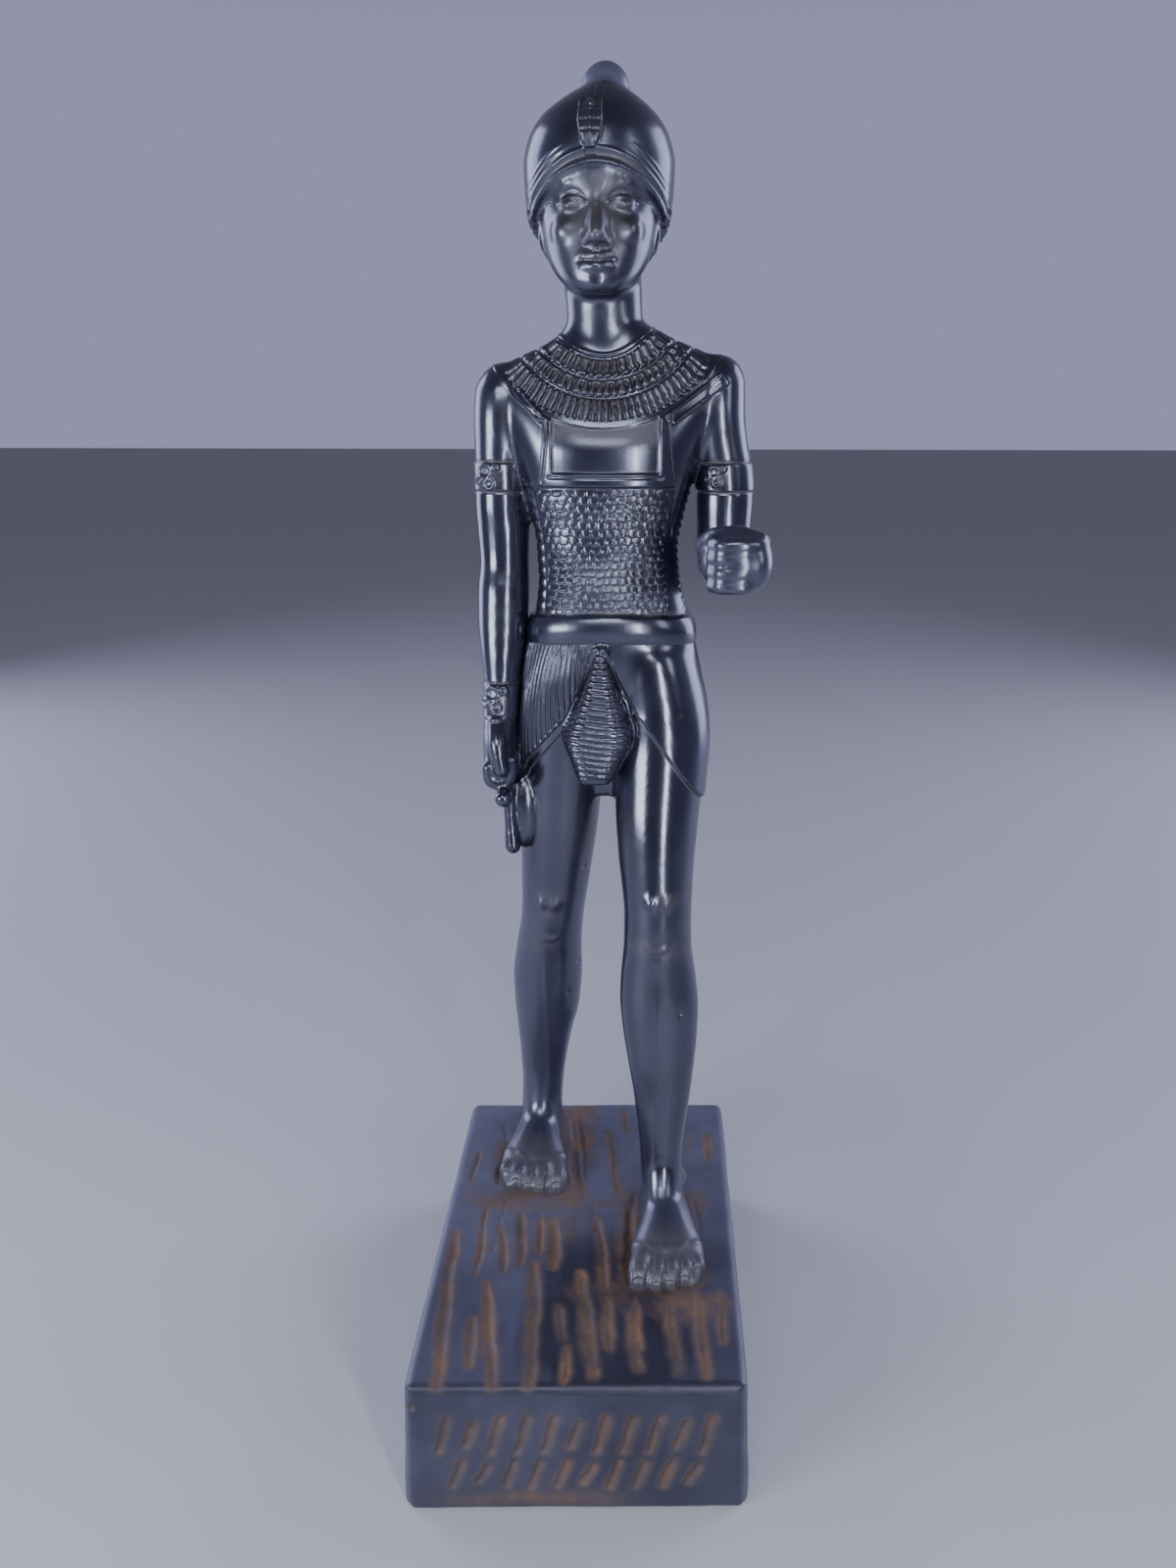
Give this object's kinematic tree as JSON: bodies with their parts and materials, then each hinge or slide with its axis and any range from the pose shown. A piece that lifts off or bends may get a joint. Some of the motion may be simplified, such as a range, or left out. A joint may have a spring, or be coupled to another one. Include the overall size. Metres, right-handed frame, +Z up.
{
  "type": "statuette",
  "caption": "Striding figure in a tall cap, broad collar, scale bodice and pleated kilt, one arm held forward, carved in one piece with its low oblong plinth.",
  "frame": {"origin": "centre of the plinth's underside, on the surface that it stands on", "axes": "+Z up along the figure, -Y is the way the figure faces, and +X is its left side"},
  "size_m": [0.084, 0.1288, 0.3311],
  "materials": {
    "stone": "polished blue-black stone with brown dust in the recesses"
  },
  "bodies": {
    "root": {"statuette": "stone"}
  },
  "joints": []
}
